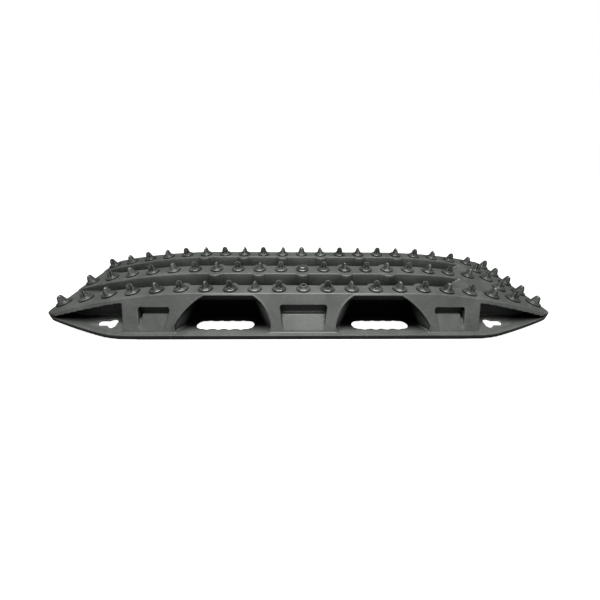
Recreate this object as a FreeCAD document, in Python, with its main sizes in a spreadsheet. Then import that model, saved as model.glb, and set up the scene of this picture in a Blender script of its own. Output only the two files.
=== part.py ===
import FreeCAD, Part
import Sketcher
import math
import os

# A vehicle traction board: a thin-walled nylon deck with three lengthwise ridges, moulded
# hand slots in both long sides and upturned ends, carrying rows of separate toothed studs.
# Each stud is held by a screw and a washer from the hollow underside.
# X runs along the board, Y across it, Z up. The origin is the middle of the footprint, on the ground.

doc = FreeCAD.newDocument("traction_board")
sheet = doc.addObject("Spreadsheet::Sheet", "sizes")

SIZES = [
    # the deck as a whole
    ("board_length", 1150.0),
    ("board_width", 340.0),
    ("ridge_height", 91.0),
    ("wall", 4.0),
    ("rim_height", 12.0),
    ("end_width", 272.0),
    ("side_taper_length", 145.0),
    ("side_blend_radius", 200.0),
    ("end_corner_radius", 24.0),
    # how the ends curve
    ("crest_curve_length", 345.0),
    ("crest_drop", 44.0),
    ("nose_curve_length", 205.0),
    ("nose_rise", 34.0),
    # the cross-section
    ("outer_ridge_top", 37.0),
    ("middle_ridge_top", 46.0),
    ("valley_mouth", 59.0),
    ("valley_floor_height", 42.0),
    ("valley_wall_run", 8.6),
    ("flange_width", 10.0),
    # the closed valleys at one end
    ("near_ramp_from_end", 120.0),
    ("near_ramp_length", 128.0),
    ("far_ramp_from_end", 31.0),
    ("far_ramp_length", 170.0),
    ("ramp_foot_drop", 1.0),
    # half-round bosses under every second stud
    ("boss_radius", 17.0),
    ("boss_draft_run", 8.0),
    ("boss_centre_inset", 6.0),
    # hand pockets and their slots
    ("pocket_mouth", 219.0),
    ("pocket_back", 146.0),
    ("pocket_shift", 2.5),
    ("pocket_mouth_clearance", 6.0),
    ("pocket_back_setback", 57.0),
    ("pocket_corner_radius", 10.0),
    ("pocket_roof", 4.5),
    ("pocket_under_depth", 5.0),
    ("pocket_under_drop", 17.0),
    ("window_top", 109.0),
    ("window_top_inset", 41.0),
    ("window_bulge_height", 58.0),
    ("window_inner_bulge", 11.0),
    ("window_outer_bulge", 28.0),
    ("window_foot_height", 24.0),
    ("window_corner_radius", 7.0),
    ("slot_length", 133.0),
    ("slot_width", 30.0),
    ("slot_back_land", 2.0),
    ("finger_radius", 17.0),
    ("finger_depth", 2.5),
    ("land_by_badge", 18.0),
    ("land_by_pocket", 5.0),
    ("land_by_scoop", 35.0),
    # stepped recesses in the side wall
    ("badge_width", 108.0),
    ("badge_top", 67.0),
    ("badge_step", 43.0),
    ("side_recess_width", 71.0),
    ("side_recess_top", 63.0),
    ("side_recess_step", 45.0),
    ("side_recess_lean", 7.0),
    ("recess_foot", 16.0),
    ("recess_depth", 9.0),
    ("step_width", 9.0),
    ("step_side_gap", 5.0),
    ("recess_side_run", 8.0),
    ("recess_corner_radius", 7.0),
    # scoops and keyholes at the ends
    ("scoop_setback", 57.0),
    ("scoop_roof", 10.0),
    ("shelf_height", 27.0),
    ("shelf_edge_setback", 30.0),
    ("shelf_edge_drop", 4.0),
    ("shelf_foot_setback", 13.0),
    ("keyhole_radius", 11.0),
    ("keyhole_slot_width", 13.0),
    ("keyhole_slot_length", 25.0),
    ("keyhole_inset", 33.0),
    ("keyhole_from_scoop", 32.0),
    # studs and their fastening
    ("stud_end_margin", 20.0),
    ("stud_flange_radius", 15.5),
    ("stud_flange_height", 5.5),
    ("flange_edge_run", 2.4),
    ("flange_edge_drop", 1.6),
    ("stud_height", 22.0),
    ("tooth_base_radius", 10.0),
    ("tooth_tip_radius", 6.0),
    ("tooth_edge", 2.4),
    ("tooth_hollow_offset", 6.0),
    ("tooth_hollow_foot_radius", 5.5),
    ("tooth_hollow_top_radius", 8.0),
    ("plain_head_height", 12.0),
    ("plain_ring_bore", 4.2),
    ("seat_depth", 0.8),
    ("seat_clearance", 0.4),
    ("screw_boss_radius", 10.0),
    ("screw_boss_height", 3.0),
    ("shank_radius", 5.5),
    ("shank_clearance", 0.3),
    ("screw_radius", 2.1),
    ("screw_clearance", 0.1),
    ("screw_grip", 5.0),
    ("screw_head_radius", 4.6),
    ("screw_head_height", 3.2),
    ("tip_gap", 1.0),
    ("screw_socket_radius", 1.6),
    ("screw_socket_depth", 1.8),
    ("washer_radius", 8.0),
    ("washer_thickness", 1.6),
]
for row, (alias, value) in enumerate(SIZES, start=1):
    sheet.set("A%d" % row, alias.replace("_", " "))
    sheet.set("B%d" % row, str(value))
    sheet.setAlias("B%d" % row, alias)
doc.recompute()


def size(alias):
    return float(sheet.get(alias))


HALF_STUDS = 10
BOSSED_OUTER = (-5, -3, -1, 1, 3, 5)
BOSSED_MIDDLE = (-4, -2, 0, 2, 4)
FINGERS = 4
BEYOND = 50.0
OVERRUN = 5.0

half_length = size("board_length") / 2
half_width = size("board_width") / 2
ridge_height = size("ridge_height")
wall = size("wall")
rim_height = size("rim_height")
ridge_inner_edge = size("middle_ridge_top") / 2 + size("valley_mouth")
ridge_outer_edge = ridge_inner_edge + size("outer_ridge_top")
row_offset = ridge_inner_edge + size("outer_ridge_top") / 2
flange_edge = half_width - size("flange_width")
side_run = (flange_edge - ridge_outer_edge) / (ridge_height - rim_height)
pitch = (half_length - size("stud_end_margin")) / HALF_STUDS

crest_radius = (size("crest_curve_length") ** 2 + size("crest_drop") ** 2) / (2 * size("crest_drop"))
nose_radius = (size("nose_curve_length") ** 2 + size("nose_rise") ** 2) / (2 * size("nose_rise"))
crest_start = half_length - size("crest_curve_length")
nose_start = half_length - size("nose_curve_length")


def arc_sag(distance, radius):
    return radius - math.sqrt(radius ** 2 - distance ** 2)


def crest_at(x):
    return ridge_height - arc_sag(max(abs(x) - crest_start, 0), crest_radius)


def crest_slope(x):
    return math.asin(max(abs(x) - crest_start, 0) / crest_radius)


def side_surface(z):
    return ridge_outer_edge + (ridge_height - z) * side_run


def polygon(points):
    return Part.Face(Part.makePolygon(points + points[:1]))


def along_x(points_yz, start, end):
    """A prism along X from an outline in the YZ plane."""
    outline = [FreeCAD.Vector(start, y, z) for y, z in points_yz]
    return polygon(outline).extrude(FreeCAD.Vector(end - start, 0, 0))


def rounded_upright(points_xy, radius_of, low, high, grow=0.0):
    """A prism along Z whose upright corners are rounded, grown or shrunk sideways all round."""
    face = polygon([FreeCAD.Vector(x, y, low) for x, y in points_xy])
    solid = face.extrude(FreeCAD.Vector(0, 0, high - low))
    for point, radius in zip(points_xy, radius_of):
        if radius <= 0:
            continue
        for edge in solid.Edges:
            middle = edge.valueAt((edge.FirstParameter + edge.LastParameter) / 2)
            beside = math.hypot(middle.x - point[0], middle.y - point[1]) < 1e-6
            if beside:
                solid = solid.makeFillet(radius, [edge])
                break
    if grow == 0:
        return solid
    bottom = min(solid.Faces, key=lambda each: each.CenterOfMass.z)
    grown = bottom.makeOffset2D(grow, join=2)
    return grown.extrude(FreeCAD.Vector(0, 0, high - low))


def lengthwise_curve(height, start, sag, direction):
    """Edges in the XZ plane: level in the middle, bending down (-1) or up (+1) towards both ends."""
    end = half_length + OVERRUN
    radius = ((half_length - start) ** 2 + sag ** 2) / (2 * sag)
    middle_x = start + radius * math.sin(math.asin((end - start) / radius) / 2)
    middle_z = height + direction * arc_sag(middle_x - start, radius)
    low = height + direction * arc_sag(end - start, radius)
    left = [(-end, low), (-middle_x, middle_z), (-start, height)]
    right = [(start, height), (middle_x, middle_z), (end, low)]
    points = [[FreeCAD.Vector(x, -half_width, z) for x, z in side] for side in (left, right)]
    return [
        Part.Arc(*points[0]).toShape(),
        Part.LineSegment(points[0][2], points[1][0]).toShape(),
        Part.Arc(*points[1]).toShape(),
    ]


def crest_curve(lower):
    return lengthwise_curve(ridge_height - lower, crest_start, size("crest_drop"), -1)


def nose_curve(raised):
    return lengthwise_curve(raised, nose_start, size("nose_rise"), 1)


def between(upper, lower):
    """The full-width body between two lengthwise curves."""
    ends = []
    for side in (0, -1):
        top = upper[side].Vertexes[side].Point
        bottom = lower[side].Vertexes[side].Point
        ends.append(Part.LineSegment(top, bottom).toShape())
    wire = Part.Wire(Part.__sortEdges__(upper + lower + ends))
    return Part.Face(wire).extrude(FreeCAD.Vector(0, 2 * half_width, 0))


def plan_outline(grow):
    """The board seen from above: straight sides that taper to narrower, round-cornered ends."""
    taper_x = half_length - size("side_taper_length")
    end_y = size("end_width") / 2
    corners = [
        (-taper_x, -half_width), (taper_x, -half_width), (half_length, -end_y), (half_length, end_y),
        (taper_x, half_width), (-taper_x, half_width), (-half_length, end_y), (-half_length, -end_y),
    ]
    blend = size("side_blend_radius")
    corner = size("end_corner_radius")
    radii = [blend, blend, corner, corner, blend, blend, corner, corner]
    return rounded_upright(corners, radii, -BEYOND, ridge_height + BEYOND, grow)


def ridge_section():
    """Half of the cross-section from the middle outwards, then its mirror: three ridges, two valleys."""
    floor = size("valley_floor_height")
    run = size("valley_wall_run")
    middle = size("middle_ridge_top") / 2
    half = [
        (middle, ridge_height), (middle + run, floor), (ridge_inner_edge - run, floor),
        (ridge_inner_edge, ridge_height), (ridge_outer_edge, ridge_height),
        (side_surface(-BEYOND), -BEYOND),
    ]
    return half + [(-y, z) for y, z in reversed(half)]


def ridge_prism(inset):
    outline = [FreeCAD.Vector(-half_length - OVERRUN, y, z) for y, z in ridge_section()]
    face = polygon(outline)
    if inset:
        face = face.makeOffset2D(-inset, join=2)
    return face.extrude(FreeCAD.Vector(2 * (half_length + OVERRUN), 0, 0))


def closed_valley(inset, side, top_x, length):
    """Fills one valley at the +X end behind a ramp that eases in at its foot and out at its top."""
    floor = size("valley_floor_height") - size("ramp_foot_drop")
    rise = ridge_height - floor
    radius = (length ** 2 + rise ** 2) / (4 * rise)
    turn = math.asin(length / 2 / radius)
    end = half_length + OVERRUN

    def below(centre_x, centre_z, reach, angle):
        return FreeCAD.Vector(centre_x + reach * math.sin(angle), 0, centre_z - reach * math.cos(angle))

    foot_x = top_x - length
    lower = [below(foot_x, floor + radius, radius + inset, turn * share) for share in (0, 0.5, 1)]
    upper = [below(top_x, ridge_height - radius, inset - radius, turn * share) for share in (1, 0.5, 0)]
    corners = [FreeCAD.Vector(end, 0, upper[2].z), FreeCAD.Vector(end, 0, -BEYOND),
               FreeCAD.Vector(foot_x, 0, -BEYOND)]
    edges = [Part.Arc(*lower).toShape(), Part.Arc(*upper).toShape()]
    chain = [upper[2]] + corners + [lower[0]]
    for first, second in zip(chain, chain[1:]):
        edges.append(Part.LineSegment(first, second).toShape())
    face = Part.Face(Part.Wire(Part.__sortEdges__(edges)))
    return face.extrude(FreeCAD.Vector(0, side * row_offset, 0))


def closed_valleys(inset):
    near_top = half_length - size("near_ramp_from_end")
    far_top = half_length - size("far_ramp_from_end")
    return [
        closed_valley(inset, -1, near_top, size("near_ramp_length")),
        closed_valley(inset, 1, far_top, size("far_ramp_length")),
    ]


def stud_boss(x, edge_y, inset):
    """A drafted round boss that stands out of a ridge's valley wall, centred just inside its top edge."""
    top = size("boss_radius") - inset
    floor = size("valley_floor_height")
    height = ridge_height - floor
    spread = size("boss_draft_run") * (1 + BEYOND / height)
    return Part.makeCone(top + spread, top, height + BEYOND, FreeCAD.Vector(x, edge_y, floor - BEYOND))


def stud_bosses(inset):
    """Bosses on the valley walls beside every second stud: odd ones outside, even ones in the middle."""
    outer_y = ridge_inner_edge + size("boss_centre_inset")
    middle_y = size("middle_ridge_top") / 2 - size("boss_centre_inset")
    bosses = []
    for side in (-1, 1):
        bosses += [stud_boss(index * pitch, side * outer_y, inset) for index in BOSSED_OUTER]
        bosses += [stud_boss(index * pitch, side * middle_y, inset) for index in BOSSED_MIDDLE]
    return bosses


pocket_inner = size("badge_width") / 2 + size("land_by_badge")
pocket_outer = pocket_inner + size("pocket_mouth")
pocket_middle = (pocket_inner + pocket_outer) / 2
recess_inner = pocket_outer + size("land_by_pocket")
recess_middle = recess_inner + size("side_recess_width") / 2
scoop_inner = recess_inner + size("side_recess_width") + size("land_by_scoop")
pocket_back_y = half_width - size("pocket_back_setback")
pocket_back_middle = pocket_middle - size("pocket_shift")
pocket_top = crest_at(pocket_back_middle + size("pocket_back") / 2) - size("pocket_roof")
keyhole_x = scoop_inner + size("keyhole_from_scoop")
keyhole_y = half_width - size("keyhole_inset")


def window(grow):
    """A prism along Y with the D-shaped outline of a pocket's window, in the +X half."""
    foot = size("window_foot_height")
    bulge = size("window_bulge_height")
    top_in = pocket_inner + size("window_top_inset")
    top_out = top_in + size("window_top")
    low = rim_height
    corners = [(pocket_outer, low), (pocket_inner, low), (pocket_inner, foot), (top_in, pocket_top),
               (top_out, pocket_top), (pocket_outer, foot)]
    points = [FreeCAD.Vector(x, -half_width - BEYOND, z) for x, z in corners]
    inner = FreeCAD.Vector(pocket_inner + size("window_inner_bulge"), points[0].y, bulge)
    outer = FreeCAD.Vector(pocket_outer - size("window_outer_bulge"), points[0].y, bulge)
    edges = [
        Part.LineSegment(points[0], points[1]).toShape(),
        Part.LineSegment(points[1], points[2]).toShape(),
        Part.Arc(points[2], inner, points[3]).toShape(),
        Part.LineSegment(points[3], points[4]).toShape(),
        Part.Arc(points[4], outer, points[5]).toShape(),
        Part.LineSegment(points[5], points[0]).toShape(),
    ]
    face = Part.Face(Part.Wire(edges))
    depth = FreeCAD.Vector(0, half_width + BEYOND, 0)
    solid = face.extrude(depth)
    bottom_edges = []
    for edge in solid.Edges:
        middle = edge.valueAt((edge.FirstParameter + edge.LastParameter) / 2)
        if abs(middle.z - low) < 1e-6 and edge.Length > half_width and abs(middle.y - points[0].y) > 1:
            bottom_edges.append(edge)
    solid = solid.makeFillet(size("window_corner_radius"), bottom_edges)
    if grow == 0:
        return solid
    front = min(solid.Faces, key=lambda each: each.CenterOfMass.y)
    return front.makeOffset2D(grow, join=2).extrude(depth)


def pocket(side_x, side_y, grow):
    """A hand pocket behind its window: wide at the mouth, narrower at the back, deeper low down."""
    mouth_y = half_width + BEYOND
    mouth_reach = size("pocket_mouth") / 2 + size("pocket_mouth_clearance")
    slope = (mouth_reach - size("pocket_back") / 2) / (flange_edge - pocket_back_y)
    extra = (mouth_y - flange_edge) * slope
    back_in = pocket_back_middle - size("pocket_back") / 2
    back_out = pocket_back_middle + size("pocket_back") / 2
    under_y = pocket_back_y - size("pocket_under_depth")
    corner = size("pocket_corner_radius")
    mouth = [(pocket_middle - mouth_reach - extra, -mouth_y),
             (pocket_middle + mouth_reach + extra, -mouth_y),
             (back_out, -pocket_back_y), (back_in, -pocket_back_y)]
    upper = rounded_upright(mouth, [0, 0, corner, corner], -BEYOND, ridge_height + BEYOND, grow)
    under = [(back_in, -flange_edge), (back_out, -flange_edge), (back_out, -under_y), (back_in, -under_y)]
    roof = pocket_top - size("pocket_under_drop") + grow
    lower = rounded_upright(under, [0, 0, corner, corner], -BEYOND, roof, grow)
    whole = upper.fuse(lower).common(window(grow))
    return mirrored(whole, side_x, -side_y)


def recess(middle_x, side_y, width, top, step, lean, grow):
    """A recess in the flank with a block standing in it, which leaves a gap at its sides and a ledge."""
    foot = size("recess_foot")
    back = side_surface(top) - size("recess_depth") - grow
    lip = back + size("step_width")
    outside = half_width + BEYOND
    half = width / 2 + grow
    narrow = half - size("recess_side_run")
    corners = [(-half, top + grow), (half, top + grow),
               (narrow + lean, foot - grow), (-narrow + lean, foot - grow)]
    outline = polygon([FreeCAD.Vector(middle_x + x, back * side_y, z) for x, z in corners])
    radius = size("recess_corner_radius")
    outline = outline.makeOffset2D(-radius, join=2).makeOffset2D(radius, join=0)
    deep = outline.extrude(FreeCAD.Vector(0, (outside - back) * side_y, 0))
    section = [
        (back - wall, step - grow), (lip, step - grow),
        (side_surface(foot) - grow, foot - grow), (side_surface(foot) - grow, foot - 2 * wall),
        (back - wall, foot - 2 * wall),
    ]
    block = along_x([(y * side_y, z) for y, z in section], middle_x - half, middle_x + half)
    block_half = width / 2 - size("step_side_gap") - grow
    block_narrow = block_half - size("recess_side_run") / 2
    block_corners = [(-block_half, top), (block_half, top),
                     (block_narrow + lean, 0), (-block_narrow + lean, 0)]
    face = polygon([FreeCAD.Vector(middle_x + x, 0, z) for x, z in block_corners])
    return deep.cut(block.common(face.extrude(FreeCAD.Vector(0, outside * side_y, 0))))


def shelf(side_x, side_y, inset):
    """The sloping shelf under a scoop, which carries the keyhole."""
    inner = half_width - size("scoop_setback") - BEYOND / 2
    edge = half_width - size("shelf_edge_setback")
    foot = half_width - size("shelf_foot_setback")
    top = size("shelf_height")
    section = [
        (inner, top - inset), (half_width - size("scoop_setback"), top - inset),
        (edge - inset / 2, top - size("shelf_edge_drop") - inset),
        (foot - inset, rim_height - inset), (foot - inset, -BEYOND), (inner, -BEYOND),
    ]
    start = scoop_inner - OVERRUN
    prism = along_x(section, start, half_length + OVERRUN)
    return mirrored(prism, side_x, side_y)


def scoop(side_x, side_y, grow):
    """The corner scoop that frees the keyhole: open to the end and the side, roofed by the ridge."""
    start = scoop_inner - grow
    depth = size("scoop_setback") + BEYOND + grow
    box = Part.makeBox(half_length + OVERRUN - start, depth, 2 * ridge_height)
    low_y = half_width - size("scoop_setback") - grow
    box.translate(FreeCAD.Vector(start, low_y, -BEYOND))
    if side_x < 0:
        box = box.mirror(FreeCAD.Vector(0, 0, 0), FreeCAD.Vector(1, 0, 0))
    if side_y < 0:
        box = box.mirror(FreeCAD.Vector(0, 0, 0), FreeCAD.Vector(0, 1, 0))
    if grow:
        return box
    return box.common(under_crest(size("scoop_roof")))


def under_crest(lower):
    """Everything below the crest curve, lowered."""
    return between(crest_curve(lower), nose_curve(-2 * BEYOND))


def side_cuts(grow):
    cuts = []
    for side_y in (-1, 1):
        cuts.append(recess(0, side_y, size("badge_width"), size("badge_top"), size("badge_step"), 0, grow))
        for side_x in (-1, 1):
            cuts.append(pocket(side_x, side_y, grow))
            cuts.append(scoop(side_x, side_y, grow))
            cuts.append(recess(side_x * recess_middle, side_y, size("side_recess_width"),
                               size("side_recess_top"), size("side_recess_step"),
                               side_x * size("side_recess_lean"), grow))
    return cuts


def board_solid(inset):
    """The board filled in (inset 0) or the hollow inside it (inset of one wall)."""
    outline = plan_outline(-inset)
    bottom = -BEYOND if inset else 0.0
    body = ridge_prism(inset).multiFuse(closed_valleys(inset) + stud_bosses(inset))
    body = body.common(between(crest_curve(inset), nose_curve(bottom)))
    body = body.common(outline)
    for each in side_cuts(inset):
        body = body.cut(each)
    low = between(nose_curve(rim_height - inset), nose_curve(bottom))
    nose_space = between(crest_curve(size("scoop_roof")), nose_curve(bottom)).common(outline)
    shelves = [shelf(side_x, side_y, inset).common(nose_space) for side_x in (-1, 1) for side_y in (-1, 1)]
    return body.multiFuse([low.common(outline)] + shelves)


def slot_cut(side_x, side_y):
    """The grip slot in a pocket's floor, with finger hollows along the grip bar."""
    half = size("slot_length") / 2
    radius = size("slot_width") / 2
    back = pocket_back_y + size("slot_back_land")
    centre_y = back + radius
    tall = 4 * rim_height
    parts = [Part.makeBox(2 * (half - radius), 2 * radius, tall,
                          FreeCAD.Vector(pocket_middle - half + radius, back, -rim_height))]
    for end in (-1, 1):
        foot = FreeCAD.Vector(pocket_middle + end * (half - radius), centre_y, -rim_height)
        parts.append(Part.makeCylinder(radius, tall, foot))
    finger = size("finger_radius")
    step = 2 * (half - radius) / FINGERS
    front = back + 2 * radius
    for number in range(FINGERS):
        x = pocket_middle - half + radius + (number + 0.5) * step
        foot = FreeCAD.Vector(x, front + size("finger_depth") - finger, -rim_height)
        parts.append(Part.makeCylinder(finger, tall, foot))
    whole = parts[0].multiFuse(parts[1:])
    return mirrored(whole, side_x, side_y)


def keyhole_cut(side_x, side_y):
    radius = size("keyhole_radius")
    width = size("keyhole_slot_width")
    tall = BEYOND + size("shelf_height") + 2
    foot = FreeCAD.Vector(keyhole_x, keyhole_y, -BEYOND)
    hole = Part.makeCylinder(radius, tall, foot)
    slot = Part.makeBox(size("keyhole_slot_length"), width, tall,
                        FreeCAD.Vector(keyhole_x, keyhole_y - width / 2, -BEYOND))
    end = Part.makeCylinder(width / 2, tall, foot + FreeCAD.Vector(size("keyhole_slot_length"), 0, 0))
    whole = hole.multiFuse([slot, end])
    return mirrored(whole, side_x, side_y)


def mirrored(shape, side_x, side_y):
    origin = FreeCAD.Vector(0, 0, 0)
    if side_x < 0:
        shape = shape.mirror(origin, FreeCAD.Vector(1, 0, 0))
    if side_y < 0:
        shape = shape.mirror(origin, FreeCAD.Vector(0, 1, 0))
    return shape


def seat_placement(x, y):
    """A stud's seat: on the crest, square to it, sunk by the seat's depth. Its X axis points outwards."""
    tilt = math.degrees(crest_slope(x))
    turn = FreeCAD.Rotation(FreeCAD.Vector(0, 1, 0), tilt if x > 0 else -tilt)
    normal = turn.multVec(FreeCAD.Vector(0, 0, 1))
    top = FreeCAD.Vector(x, y, crest_at(x))
    return FreeCAD.Placement(top - normal * size("seat_depth"), turn)


end_columns = (HALF_STUDS - 1, HALF_STUDS)
between_rows = row_offset / 2
SEATS = []
for index in range(-HALF_STUDS, HALF_STUDS + 1):
    SEATS.append(("near", index, seat_placement(index * pitch, -row_offset)))
    SEATS.append(("middle", index, seat_placement(index * pitch, 0)))
    SEATS.append(("far", index, seat_placement(index * pitch, row_offset)))
for number, column in enumerate(end_columns):
    SEATS.append(("end_near", number, seat_placement(column * pitch, -between_rows)))
    SEATS.append(("end_far", number, seat_placement(column * pitch, between_rows)))

# ---------------------------------------------------------------- the deck
outside = doc.addObject("Part::Feature", "deck_outside")
outside.Shape = board_solid(0.0)
hollow = doc.addObject("Part::Feature", "deck_hollow")
hollow.Shape = board_solid(wall)
shell = doc.addObject("Part::Cut", "deck_shell")
shell.Base = outside
shell.Tool = hollow

seat_floor = wall - size("seat_depth") + size("screw_boss_height")
grips = doc.addObject("Part::Feature", "screw_bosses")
grips.Shape = Part.makeCompound([
    Part.makeCylinder(size("screw_boss_radius"), seat_floor,
                      place.Base - place.Rotation.multVec(FreeCAD.Vector(0, 0, seat_floor)),
                      place.Rotation.multVec(FreeCAD.Vector(0, 0, 1)))
    for row_name, index, place in SEATS])
bossed = doc.addObject("Part::MultiFuse", "deck_with_bosses")
bossed.Shapes = [shell, grips]


def seat_tool(place):
    up = place.Rotation.multVec(FreeCAD.Vector(0, 0, 1))
    seat = Part.makeCylinder(size("stud_flange_radius") + size("seat_clearance"),
                             size("stud_flange_height"), place.Base, up)
    hole = Part.makeCylinder(size("shank_radius") + size("shank_clearance"), 2 * seat_floor,
                             place.Base - up * (1.5 * seat_floor), up)
    return seat.fuse(hole)


openings = doc.addObject("Part::Feature", "deck_openings")
openings.Shape = Part.makeCompound(
    [seat_tool(place) for row_name, index, place in SEATS]
    + [slot_cut(side_x, side_y) for side_x in (-1, 1) for side_y in (-1, 1)]
    + [keyhole_cut(side_x, side_y) for side_x in (-1, 1) for side_y in (-1, 1)])
deck = doc.addObject("Part::Cut", "deck")
deck.Base = bossed
deck.Tool = openings
deck.Label = "deck"


# ---------------------------------------------------------------- studs, screws and washers
def origin_plane(body, role):
    return [each for each in body.Origin.OriginFeatures if each.Role == role][0]


def drawn_outline(body, name, plane, corners):
    """A closed sketch whose corners are held at the given pairs of sheet expressions."""
    sketch = body.newObject("Sketcher::SketchObject", name)
    sketch.AttachmentSupport = [(origin_plane(body, plane), "")]
    sketch.MapMode = "FlatFace"
    values = [(number_of(across), number_of(up)) for across, up in corners]
    count = len(values)
    for number, (x, y) in enumerate(values):
        following = values[(number + 1) % count]
        sketch.addGeometry(Part.LineSegment(FreeCAD.Vector(x, y, 0), FreeCAD.Vector(*following, 0)), False)
    for number in range(count):
        sketch.addConstraint(Sketcher.Constraint("Coincident", number, 2, (number + 1) % count, 1))
    for number, (across, up) in enumerate(corners):
        sideways = ("DistanceX", across, values[number][0])
        upward = ("DistanceY", up, values[number][1])
        for kind, text, value in (sideways, upward):
            if text == "0":
                side = 2 if kind == "DistanceX" else 1
                sketch.addConstraint(Sketcher.Constraint("PointOnObject", number, 1, -side))
                continue
            place = sketch.addConstraint(Sketcher.Constraint(kind, -1, 1, number, 1, value))
            sketch.setExpression("Constraints[%d]" % place, bound(text))
    return sketch


def bound(text):
    words = text.replace("(", " ( ").replace(")", " ) ").split()
    aliases = [alias for alias, value in SIZES]
    return " ".join("sizes.%s" % word if word in aliases else word for word in words)


def number_of(text):
    words = text.replace("(", " ( ").replace(")", " ) ").split()
    aliases = [alias for alias, value in SIZES]
    total, sign = 0.0, 1.0
    for word in words:
        if word in "+-":
            sign = 1.0 if word == "+" else -1.0
            continue
        total += sign * (size(word) if word in aliases else float(word))
    return total


def turned_body(name, corners):
    """A body of revolution about Z from an outline in the XZ plane."""
    body = doc.addObject("PartDesign::Body", name)
    sketch = drawn_outline(body, name + "_outline", "XZ_Plane", corners)
    turned = body.newObject("PartDesign::Revolution", name + "_turned")
    turned.Profile = sketch
    turned.ReferenceAxis = (sketch, ["V_Axis"])
    turned.Angle = 360
    doc.recompute()
    return body


SHANK = "0 - wall + seat_depth - screw_boss_height"
HEAD_TOP = SHANK + " - washer_thickness"
HEAD_BOTTOM = HEAD_TOP + " - screw_head_height"
BORE = "screw_radius + screw_clearance"


def stud_outline(head):
    """Half of a stud's outline: a bored shank, the flange, then the given head from the flange up."""
    return [
        (BORE, "screw_grip"), (BORE, SHANK + " + seat_clearance"),
        ("shank_radius", SHANK + " + seat_clearance"),
        ("shank_radius", "0"), ("stud_flange_radius", "0"),
        ("stud_flange_radius", "stud_flange_height - flange_edge_drop"),
        ("stud_flange_radius - flange_edge_run", "stud_flange_height"),
    ] + head


cone = turned_body("stud_cone", stud_outline([
    ("tooth_base_radius", "stud_flange_height"), ("tooth_tip_radius", "stud_height - tooth_edge"),
    ("tooth_tip_radius - tooth_edge", "stud_height"), ("0", "stud_height"), ("0", "screw_grip")]))
low_disc = turned_body("stud_disc", stud_outline([
    ("tooth_base_radius + tooth_edge", "stud_flange_height"),
    ("tooth_base_radius + tooth_edge", "plain_head_height - tooth_edge"),
    ("tooth_base_radius", "plain_head_height"), ("0", "plain_head_height"), ("0", "screw_grip")]))
ring = turned_body("stud_ring", stud_outline([
    ("tooth_base_radius", "stud_flange_height"), ("tooth_base_radius - tooth_edge", "plain_head_height"),
    ("plain_ring_bore", "plain_head_height"),
    ("plain_ring_bore", "stud_flange_height"),
    ("0", "stud_flange_height"), ("0", "screw_grip")]))
screw = turned_body("stud_screw", [
    ("0", "screw_grip - tip_gap"), ("screw_radius", "screw_grip - tip_gap"),
    ("screw_radius", HEAD_TOP), ("screw_head_radius", HEAD_TOP), ("screw_head_radius", HEAD_BOTTOM),
    ("screw_socket_radius", HEAD_BOTTOM), ("screw_socket_radius", HEAD_BOTTOM + " + screw_socket_depth"),
    ("0", HEAD_BOTTOM + " + screw_socket_depth")])
washer = turned_body("stud_washer", [
    ("screw_radius + shank_clearance", SHANK), ("screw_radius + shank_clearance", HEAD_TOP),
    ("washer_radius", HEAD_TOP), ("washer_radius", SHANK)])

hollow_cut = doc.addObject("Part::Cone", "tooth_hollow")
hollow_cut.setExpression("Radius1", "sizes.tooth_hollow_foot_radius * 1mm")
hollow_cut.setExpression("Radius2", "sizes.tooth_hollow_top_radius * 1mm")
hollow_cut.setExpression("Height", "(sizes.stud_height - sizes.stud_flange_height) * 1mm")
hollow_cut.setExpression("Placement.Base.x", "sizes.tooth_hollow_offset * 1mm")
hollow_cut.setExpression("Placement.Base.z", "(sizes.stud_flange_height + sizes.seat_clearance) * 1mm")
tooth = doc.addObject("Part::Cut", "stud_tooth")
tooth.Base = cone
tooth.Tool = hollow_cut
doc.recompute()

TOOTH_FACING_SIDE = -90.0


def placed(source, place, turn=0.0):
    shape = source.Shape.copy()
    spin = FreeCAD.Placement(FreeCAD.Vector(0, 0, 0), FreeCAD.Rotation(FreeCAD.Vector(0, 0, 1), turn))
    shape.Placement = place.multiply(spin)
    return shape


def stud_at(row_name, index, place):
    """The stud for a seat: teeth face the ends and the side by turns, and the middle column is plain."""
    if index == 0 and row_name in ("near", "middle", "far"):
        plain = {"near": ring, "middle": low_disc, "far": cone}
        return placed(plain[row_name], place)
    faces_side = index % 2 == (0 if row_name == "far" else 1)
    if row_name in ("end_near", "end_far"):
        faces_side = index == 0
    if faces_side:
        return placed(tooth, place, TOOTH_FACING_SIDE)
    return placed(tooth, place, 0.0 if place.Base.x > 0 else 180.0)


def add_node(label, shapes):
    node = doc.addObject("Part::Feature", label)
    node.Shape = shapes[0] if len(shapes) == 1 else Part.makeCompound(shapes)
    node.Label = label
    return node


NODES = [deck]
for index in range(-HALF_STUDS, HALF_STUDS + 1):
    column = index + HALF_STUDS + 1
    here = [seat for seat in SEATS if seat[1] == index and not seat[0].startswith("end")]
    outer = [stud_at(*seat) for seat in here if seat[0] != "middle"]
    NODES.append(add_node("outer_studs_%02d" % column, outer))
    centre = [stud_at(*seat) for seat in here if seat[0] == "middle"]
    NODES.append(add_node("centre_stud_%02d" % column, centre))
for number, seat in enumerate([seat for seat in SEATS if seat[0].startswith("end")], start=1):
    NODES.append(add_node("end_stud_%d" % number, [stud_at(*seat)]))
for row_name in ("near", "middle", "far", "end"):
    places = [place for name, index, place in SEATS if name.split("_")[0] == row_name]
    NODES.append(add_node("screws_%s" % row_name, [placed(screw, place) for place in places]))
    NODES.append(add_node("washers_%s" % row_name, [placed(washer, place) for place in places]))

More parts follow.
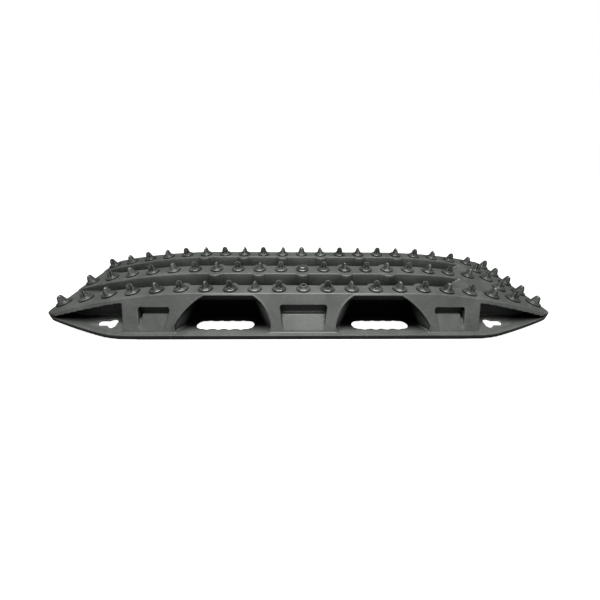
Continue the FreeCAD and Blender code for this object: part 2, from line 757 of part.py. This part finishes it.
doc.recompute()
for each in doc.Objects:
    if "Invalid" in each.State or "Error" in each.State:
        raise RuntimeError("%s failed to build" % each.Name)
os.makedirs("parts", exist_ok=True)
for node in NODES:
    if node.Shape.isNull() or not node.Shape.isValid():
        raise RuntimeError("%s has no valid shape" % node.Label)
    node.Shape.exportStep("parts/%s.step" % node.Label)
    print(node.Label, len(node.Shape.Solids), round(node.Shape.Volume))
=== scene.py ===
import math

import bmesh
import bpy
from mathutils import Matrix, Vector


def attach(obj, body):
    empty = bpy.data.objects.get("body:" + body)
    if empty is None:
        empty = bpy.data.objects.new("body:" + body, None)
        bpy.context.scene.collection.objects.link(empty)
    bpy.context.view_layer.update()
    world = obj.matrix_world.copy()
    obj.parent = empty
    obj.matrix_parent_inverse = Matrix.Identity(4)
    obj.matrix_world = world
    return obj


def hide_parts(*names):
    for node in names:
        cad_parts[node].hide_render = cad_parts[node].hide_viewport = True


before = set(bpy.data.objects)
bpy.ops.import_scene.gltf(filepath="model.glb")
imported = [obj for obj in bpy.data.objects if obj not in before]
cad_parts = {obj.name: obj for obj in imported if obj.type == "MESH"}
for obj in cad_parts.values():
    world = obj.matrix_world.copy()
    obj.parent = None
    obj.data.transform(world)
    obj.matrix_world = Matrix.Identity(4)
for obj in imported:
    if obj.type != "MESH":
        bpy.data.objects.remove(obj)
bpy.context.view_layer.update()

# A vehicle traction board: a moulded nylon deck with three ridges, hand pockets, keyholes and
# upturned ends, carrying rows of separate toothed studs that are screwed on from below.
# Sizes are in metres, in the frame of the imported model: X along the board, Y across it, Z up.

MM = 0.001

# the deck's flanks, where the window beads lie
RIDGE_HEIGHT = 91 * MM
RIDGE_OUTER_EDGE = 119 * MM
RIM_HEIGHT = 12 * MM
RIM_INNER_EDGE = 160 * MM
# the D-shaped windows of the hand pockets
WINDOW_INNER = 72 * MM
WINDOW_OUTER = 291 * MM
WINDOW_TOP = 86.5 * MM
WINDOW_TOP_INNER = 113 * MM
WINDOW_TOP_OUTER = 222 * MM
WINDOW_FOOT = 24 * MM
WINDOW_BULGE = 58 * MM
INNER_BULGE = 11 * MM
OUTER_BULGE = 28 * MM
BEAD_RADIUS = 1.7 * MM
# where the bead's two ends stand, inside the window's sides and above the rim
BEAD_FOOT_INSET = 4 * MM
BEAD_FOOT_RISE = 2 * MM
# how finely the mouldings are drawn, and how far their edges are eased
DECK_GRID = 1.5 * MM
DECK_EASING = 5
STUD_GRID = 0.75 * MM
STUD_EASING = 2
# how far round a point is looked at, to tell whether it lies in a hollow that gets painted shade
DECK_HOLLOW = 60 * MM
STUD_HOLLOW = 14 * MM
# where the painted shade of a hand pocket begins and ends, as depth below the flank
POCKET_LIT_DEPTH = 5 * MM
POCKET_FULL_SHADE_DEPTH = 34 * MM
# how far the painted shade reaches past a window's sides, above its top and in under the ridge
POCKET_SIDE_REACH = 8 * MM
POCKET_TOP_REACH = 1.5 * MM
POCKET_INWARD_REACH = 12 * MM
# the real sizes of the patterns in the surfaces
FLOW_MARK = 60 * MM
# the real grain is about 0.3 mm; it is drawn coarser so that it shows
GRAIN = 1.4 * MM
GRAIN_HEIGHT = 0.12 * MM
GLASS_STRAND = 2.5 * MM
ZINC_PATCH = 6 * MM
TURNING_MARK = 0.8 * MM
TURNING_HEIGHT = 0.05 * MM
NYLON_IOR = 1.53
# the colour inputs of a colour Mix node
MIX_A = 6
MIX_B = 7


# ---------------------------------------------------------------- colours and materials
def linear(hex_colour):
    """An sRGB hex colour as linear RGBA."""
    parts = [int(hex_colour[i:i + 2], 16) / 255 for i in (1, 3, 5)]
    return [p / 12.92 if p <= 0.04045 else ((p + 0.055) / 1.055) ** 2.4 for p in parts] + [1.0]


def add(tree, kind, settings=None, links=None):
    """Adds a node, sets its properties and unlinked sockets, and links the rest."""
    node = tree.nodes.new("ShaderNode" + kind)
    for name, value in (settings or {}).items():
        if isinstance(name, str) and hasattr(node, name):
            setattr(node, name, value)
        else:
            node.inputs[name].default_value = value
    for name, source in (links or {}).items():
        tree.links.new(source, node.inputs[name])
    return node


def new_material(name):
    material = bpy.data.materials.new(name)
    material.use_nodes = True
    material.node_tree.nodes.clear()
    return material, material.node_tree


def ramp(tree, source, stops):
    """A colour ramp over a source, as (position, grey level) stops."""
    node = add(tree, "ValToRGB", links={"Fac": source})
    elements = node.color_ramp.elements
    for number, (position, level) in enumerate(stops):
        if number >= 2:
            elements.new(position)
        elements[number].position = position
        elements[number].color = (level, level, level, 1)
    return node.outputs["Color"]


def flank_slope():
    """How far the deck's flank runs outwards for each metre that it drops."""
    return (RIM_INNER_EDGE - RIDGE_OUTER_EDGE) / (RIDGE_HEIGHT - RIM_HEIGHT)


def limit(tree, operation, source, bound):
    """1 where the source is past a bound, and 0 elsewhere."""
    return add(tree, "Math", {"operation": operation, 1: bound}, {0: source}).outputs[0]


def pocket_shade(tree, place):
    """Painted shade: 1 on the outside, falling nearly to 0 inside the hand pockets, painting them
    black.
    """
    parts = add(tree, "SeparateXYZ", links={"Vector": place}).outputs
    across = add(tree, "Math", {"operation": "ABSOLUTE"}, {0: parts["Y"]}).outputs[0]
    along = add(tree, "Math", {"operation": "ABSOLUTE"}, {0: parts["X"]}).outputs[0]
    # how far out a point lies, slid down the flank's slope to the floor
    outward = add(tree, "Math", {"operation": "MULTIPLY_ADD", 1: flank_slope()},
                  {0: parts["Z"], 2: across}).outputs[0]
    flank = RIDGE_OUTER_EDGE + flank_slope() * RIDGE_HEIGHT
    lit = add(tree, "MapRange", {"From Min": flank - POCKET_FULL_SHADE_DEPTH,
                                 "From Max": flank - POCKET_LIT_DEPTH},
              {"Value": outward}).outputs[0]
    outside = (
        limit(tree, "LESS_THAN", across, RIDGE_OUTER_EDGE - POCKET_INWARD_REACH),
        limit(tree, "GREATER_THAN", parts["Z"], WINDOW_TOP + POCKET_TOP_REACH),
        limit(tree, "LESS_THAN", along, WINDOW_INNER - POCKET_SIDE_REACH),
        limit(tree, "GREATER_THAN", along, WINDOW_OUTER + POCKET_SIDE_REACH),
    )
    for place_outside in outside:
        lit = add(tree, "Math", {"operation": "MAXIMUM"}, {0: lit, 1: place_outside}).outputs[0]
    return ramp(tree, lit, [(0.0, 0.02), (0.3, 0.05), (1.0, 1.0)])


def moulded_nylon(name, body, pale, roughness, hollow, paints_pocket_shade):
    """Glass-filled nylon, injection moulded in a spark-eroded tool: a dense satin graphite with a
    fine even grain, faint cloudy flow marks where the glass comes to the surface, each edge paled
    a little, partly by rubbing and partly as a painted highlight, and painted shade in the hollows."""
    material, tree = new_material(name)
    place = add(tree, "TexCoord").outputs["Object"]
    flow = add(tree, "TexNoise", {"Scale": 1 / FLOW_MARK, "Detail": 3.0, "Roughness": 0.55,
                                  "Distortion": 0.6}, {"Vector": place})
    grain = add(tree, "TexNoise", {"Scale": 1 / GRAIN, "Detail": 2.0, "Roughness": 0.6},
                {"Vector": place})
    # glass strands lie in short pale streaks along the board
    stretched = add(tree, "Mapping", {"Scale": (0.25, 1.0, 1.0)}, {"Vector": place})
    strands = add(tree, "TexNoise", {"Scale": 1 / GLASS_STRAND, "Detail": 2.0},
                  {"Vector": stretched.outputs["Vector"]})
    # each edge is paled, partly as rubbing wear and partly as a painted highlight where the rounded
    # edge catches the light
    edge_wear_and_highlight = ramp(tree, add(tree, "NewGeometry").outputs["Pointiness"], [(0.52, 0.0), (0.64, 1.0)])
    # painted shade: hollows, as ambient occlusion finds them, are darkened in the colour
    open_sky = add(tree, "AmbientOcclusion", {"samples": 8, "Distance": hollow})
    shade = ramp(tree, open_sky.outputs["AO"], [(0.3, 0.06), (0.88, 1.0)])
    # painted shade: inside the hand pockets the colour is darkened nearly to black, by position
    if paints_pocket_shade:
        shade = add(tree, "Math", {"operation": "MULTIPLY"},
                    {0: shade, 1: pocket_shade(tree, place)}).outputs[0]

    cloud = ramp(tree, flow.outputs["Fac"], [(0.35, 0.0), (0.7, 0.35)])
    streak = ramp(tree, strands.outputs["Fac"], [(0.5, 0.0), (0.75, 0.3)])
    amount = add(tree, "Math", {"operation": "ADD", "use_clamp": True},
                 {0: cloud, 1: streak})
    pale_marks_and_edge_highlight = add(tree, "Math", {"operation": "MULTIPLY_ADD", "use_clamp": True, 1: 0.3},
                 {0: edge_wear_and_highlight, 2: amount.outputs[0]})
    colour = add(tree, "Mix", {"data_type": "RGBA", MIX_A: linear(body), MIX_B: linear(pale)},
                 {0: pale_marks_and_edge_highlight.outputs[0]})
    gloss = add(tree, "MapRange", {"From Min": 0.3, "From Max": 0.7, "To Min": roughness - 0.06,
                                   "To Max": roughness + 0.08}, {"Value": flow.outputs["Fac"]})
    # the specular level follows the painted shade, so reflections also fade in the hollows
    sheen_in_painted_shade = add(tree, "MapRange", {"To Min": 0.0, "To Max": 0.5}, {"Value": shade})
    bump = add(tree, "Bump", {"Strength": 0.35, "Distance": GRAIN_HEIGHT},
               {"Height": grain.outputs["Fac"]})
    # the painted shade is multiplied into the colour
    shaded = add(tree, "Mix", {"data_type": "RGBA", "blend_type": "MULTIPLY", 0: 1.0},
                 {MIX_A: colour.outputs[2], MIX_B: shade})
    shader = add(tree, "BsdfPrincipled", {"IOR": NYLON_IOR},
                 {"Base Color": shaded.outputs[2], "Roughness": gloss.outputs[0],
                  "Specular IOR Level": sheen_in_painted_shade.outputs[0], "Normal": bump.outputs[0]})
    add(tree, "OutputMaterial", links={"Surface": shader.outputs[0]})
    return material


def zinc_plated_steel():
    """Bright zinc over turned steel: a pale blue-grey metal with fine turning marks and a faint
    yellow cast where the passivation is thicker."""
    material, tree = new_material("zinc_plated_steel")
    place = add(tree, "TexCoord").outputs["Object"]
    patches = add(tree, "TexNoise", {"Scale": 1 / ZINC_PATCH, "Detail": 3.0}, {"Vector": place})
    turning = add(tree, "TexNoise", {"Scale": 1 / TURNING_MARK, "Detail": 2.0}, {"Vector": place})
    colour = add(tree, "Mix", {"data_type": "RGBA", MIX_A: linear("#b4bac2"),
                               MIX_B: linear("#c6c2b0")}, {0: patches.outputs["Fac"]})
    gloss = add(tree, "MapRange", {"To Min": 0.24, "To Max": 0.42}, {"Value": turning.outputs["Fac"]})
    bump = add(tree, "Bump", {"Strength": 0.25, "Distance": TURNING_HEIGHT},
               {"Height": turning.outputs["Fac"]})
    shader = add(tree, "BsdfPrincipled", {"Metallic": 1.0},
                 {"Base Color": colour.outputs[2], "Roughness": gloss.outputs[0],
                  "Normal": bump.outputs[0]})
    add(tree, "OutputMaterial", links={"Surface": shader.outputs[0]})
    return material


def lit_acrylic():
    """A white acrylic table lit from below, so that what stands on it throws hardly any shadow."""
    material, tree = new_material("lit_acrylic")
    shader = add(tree, "BsdfPrincipled", {"Roughness": 0.9, "Base Color": linear("#8c8c8c"),
                                          "Emission Color": (1, 1, 1, 1), "Emission Strength": 1.0,
                                          "Specular IOR Level": 0.0})
    add(tree, "OutputMaterial", links={"Surface": shader.outputs[0]})
    return material


# ---------------------------------------------------------------- mouldings
def link(item):
    bpy.context.scene.collection.objects.link(item)
    return item


def settled_mesh(item):
    """The object's mesh with its modifiers applied."""
    graph = bpy.context.evaluated_depsgraph_get()
    return bpy.data.meshes.new_from_object(item.evaluated_get(graph), depsgraph=graph)


def moulding(node, extra, grid, easing):
    """A node's shape as it comes out of the mould: one even skin whose corners are all rounded."""
    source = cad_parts[node]
    shape = bmesh.new()
    shape.from_mesh(source.data)
    shape.transform(source.matrix_world)
    for mesh in extra:
        shape.from_mesh(mesh)
    mesh = bpy.data.meshes.new(node + "_moulding")
    shape.to_mesh(mesh)
    shape.free()
    mesh.materials.clear()
    piece = link(bpy.data.objects.new(node + "_moulding", mesh))
    skin = piece.modifiers.new("skin", "REMESH")
    skin.mode = "VOXEL"
    skin.voxel_size = grid
    skin.use_smooth_shade = True
    ease = piece.modifiers.new("ease", "SMOOTH")
    ease.factor = 0.5
    ease.iterations = easing
    settled = settled_mesh(piece)
    piece.modifiers.clear()
    piece.data = settled
    for face in settled.polygons:
        face.use_smooth = True
    return piece


def arc_through(first, middle, last, count):
    """Points along the circular arc through three points of a plane."""
    (ax, az), (bx, bz), (cx, cz) = first, middle, last
    twice = 2 * (ax * (bz - cz) + bx * (cz - az) + cx * (az - bz))
    squares = [x * x + z * z for x, z in (first, middle, last)]
    centre_x = (squares[0] * (bz - cz) + squares[1] * (cz - az) + squares[2] * (az - bz)) / twice
    centre_z = (squares[0] * (cx - bx) + squares[1] * (ax - cx) + squares[2] * (bx - ax)) / twice
    radius = math.hypot(ax - centre_x, az - centre_z)
    start = math.atan2(az - centre_z, ax - centre_x)
    sweep = math.atan2(cz - centre_z, cx - centre_x) - start
    sweep = (sweep + math.pi) % (2 * math.pi) - math.pi
    angles = [start + sweep * step / count for step in range(count + 1)]
    return [(centre_x + radius * math.cos(a), centre_z + radius * math.sin(a)) for a in angles]


def window_bead(side_x, side_y):
    """The raised bead round a window, lying on the deck's sloping flank."""
    inner = arc_through((WINDOW_INNER, WINDOW_FOOT), (WINDOW_INNER + INNER_BULGE, WINDOW_BULGE),
                        (WINDOW_TOP_INNER, WINDOW_TOP), 16)
    outer = arc_through((WINDOW_TOP_OUTER, WINDOW_TOP), (WINDOW_OUTER - OUTER_BULGE, WINDOW_BULGE),
                        (WINDOW_OUTER, WINDOW_FOOT), 24)
    foot = RIM_HEIGHT + BEAD_FOOT_RISE
    path = [(WINDOW_INNER + BEAD_FOOT_INSET, foot)] + inner + outer
    path.append((WINDOW_OUTER - BEAD_FOOT_INSET, foot))
    data = bpy.data.curves.new("bead", "CURVE")
    data.dimensions = "3D"
    data.bevel_depth = BEAD_RADIUS
    data.bevel_resolution = 3
    data.use_fill_caps = True
    line = data.splines.new("POLY")
    line.points.add(len(path) - 1)
    for point, (x, z) in zip(line.points, path):
        y = RIDGE_OUTER_EDGE + (RIDGE_HEIGHT - z) * flank_slope()
        point.co = (side_x * x, side_y * y, z, 1)
    item = link(bpy.data.objects.new("bead", data))
    mesh = settled_mesh(item)
    bpy.data.objects.remove(item)
    return mesh


def finish_piece(piece, node, material):
    piece.data.materials.append(material)
    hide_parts(node)
    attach(piece, "root")


# ---------------------------------------------------------------- the studio
CAMERA_LENS_MM = 15.306
CAMERA_PLACE = (-0.0195, -0.603, 0.3875)
CAMERA_PITCH, CAMERA_YAW, CAMERA_ROLL = 33.0, -1.385, 0.815
FLOOR_WIDTH = 60
BACKDROP_SEEN = 1.0
BACKDROP_LIGHT = 0.03


def camera():
    data = bpy.data.cameras.new("camera")
    data.sensor_width = 36.0
    data.lens = CAMERA_LENS_MM
    data.clip_start = 0.01
    item = link(bpy.data.objects.new("camera", data))
    angles = (CAMERA_PITCH, CAMERA_YAW, CAMERA_ROLL)
    pitch, yaw, roll = (math.radians(angle) for angle in angles)
    facing = Matrix.Rotation(yaw, 4, "Z") @ Matrix.Rotation(math.pi / 2 - pitch, 4, "X")
    stand = Matrix.Translation(CAMERA_PLACE)
    item.matrix_world = stand @ facing @ Matrix.Rotation(roll, 4, "Z")
    bpy.context.scene.camera = item


def floor():
    bpy.ops.mesh.primitive_plane_add(size=FLOOR_WIDTH, location=(0, 0, 0))
    plane = bpy.context.object
    plane.name = "floor"
    plane.data.materials.append(lit_acrylic())
    # black cards round the table keep its own light off the board's sides
    plane.visible_diffuse = False
    plane.visible_glossy = False


def softbox(name, place, aim, width, depth, watts):
    data = bpy.data.lights.new(name, "AREA")
    data.shape = "RECTANGLE"
    data.size = width
    data.size_y = depth
    data.energy = watts
    item = link(bpy.data.objects.new(name, data))
    item.location = place
    item.rotation_euler = (Vector(aim) - Vector(place)).to_track_quat("-Z", "Y").to_euler()


def studio():
    world = bpy.data.worlds.new("studio")
    bpy.context.scene.world = world
    world.use_nodes = True
    tree = world.node_tree
    tree.nodes.clear()
    # the backdrop is white to look at and gives hardly any light of its own
    seen = add(tree, "LightPath").outputs["Is Camera Ray"]
    level = add(tree, "MapRange", {"To Min": BACKDROP_LIGHT, "To Max": BACKDROP_SEEN}, {"Value": seen})
    backdrop = add(tree, "Background", {"Color": (1, 1, 1, 1)}, {"Strength": level.outputs[0]})
    add(tree, "OutputWorld", links={"Surface": backdrop.outputs[0]})
    softbox("top_softbox", (0, -0.3, 1.2), (0, 0, 0), 1.2, 0.7, 35)
    softbox("front_softbox", (0, -2.2, 0.5), (0, 0, 0), 2.4, 0.4, 9)
    bpy.context.scene.view_settings.view_transform = "Standard"


deck_nylon = moulded_nylon("glass_filled_nylon_deck", "#454845", "#626561", 0.46, DECK_HOLLOW, True)
stud_nylon = moulded_nylon("glass_filled_nylon_studs", "#2f322e", "#646762", 0.26, STUD_HOLLOW, False)
zinc = zinc_plated_steel()

beads = [window_bead(side_x, side_y) for side_x in (-1, 1) for side_y in (-1, 1)]
deck = moulding("deck", beads, DECK_GRID, DECK_EASING)
finish_piece(deck, "deck", deck_nylon)
for node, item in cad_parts.items():
    if "stud" in node:
        finish_piece(moulding(node, [], STUD_GRID, STUD_EASING), node, stud_nylon)
    elif node != "deck":
        item.data.materials.clear()
        item.data.materials.append(zinc)

camera()
floor()
studio()
